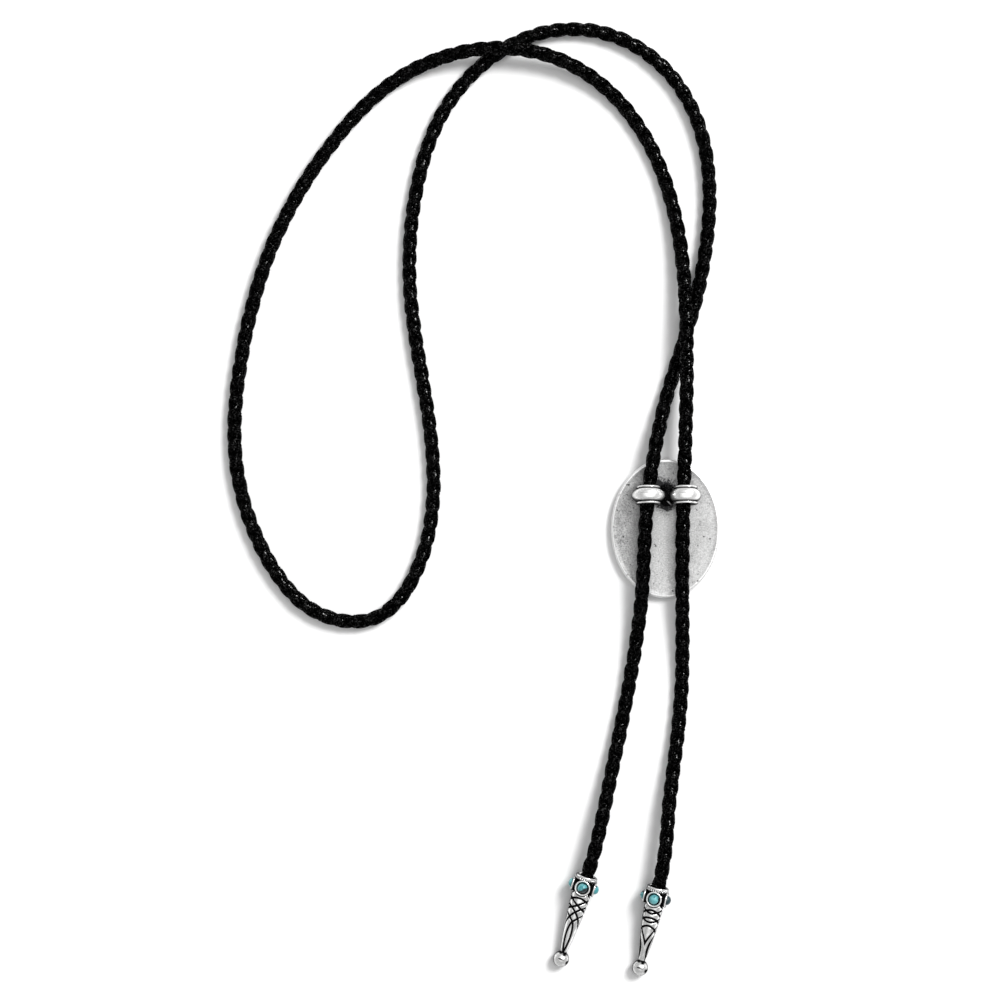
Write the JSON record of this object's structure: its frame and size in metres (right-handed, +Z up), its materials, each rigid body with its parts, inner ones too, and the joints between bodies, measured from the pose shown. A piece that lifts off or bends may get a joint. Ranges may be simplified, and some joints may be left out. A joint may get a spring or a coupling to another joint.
{
  "type": "bolo_tie",
  "caption": "Bolo tie lying face down: oval silver slide with two cord rings on its back, braided black leather cord, cast silver tips set with turquoise cabochons",
  "frame": {"origin": "Centre of the slide's flat front face, which lies on the table", "axes": "+X to the right as seen from above, +Y from the slide towards the neck loop along the slide's long axis, +Z up, out of the slide's back"},
  "size_m": [0.1474, 0.2859, 0.0118],
  "materials": {
    "silver": "antiqued silver, matt grey back with polished edge and rings",
    "cast_silver": "cast silver, polished with blackened grooves",
    "turquoise": "polished turquoise with dark matrix",
    "leather": "black braided bolo leather, slightly glossy"
  },
  "bodies": {
    "root": {"slide": "silver", "cord": "leather", "tip_left": "cast_silver", "tip_right": "cast_silver", "stone_left_1": "turquoise", "stone_left_2": "turquoise", "stone_left_3": "turquoise", "stone_left_4": "turquoise", "stone_right_1": "turquoise", "stone_right_2": "turquoise", "stone_right_3": "turquoise", "stone_right_4": "turquoise"}
  },
  "joints": []
}
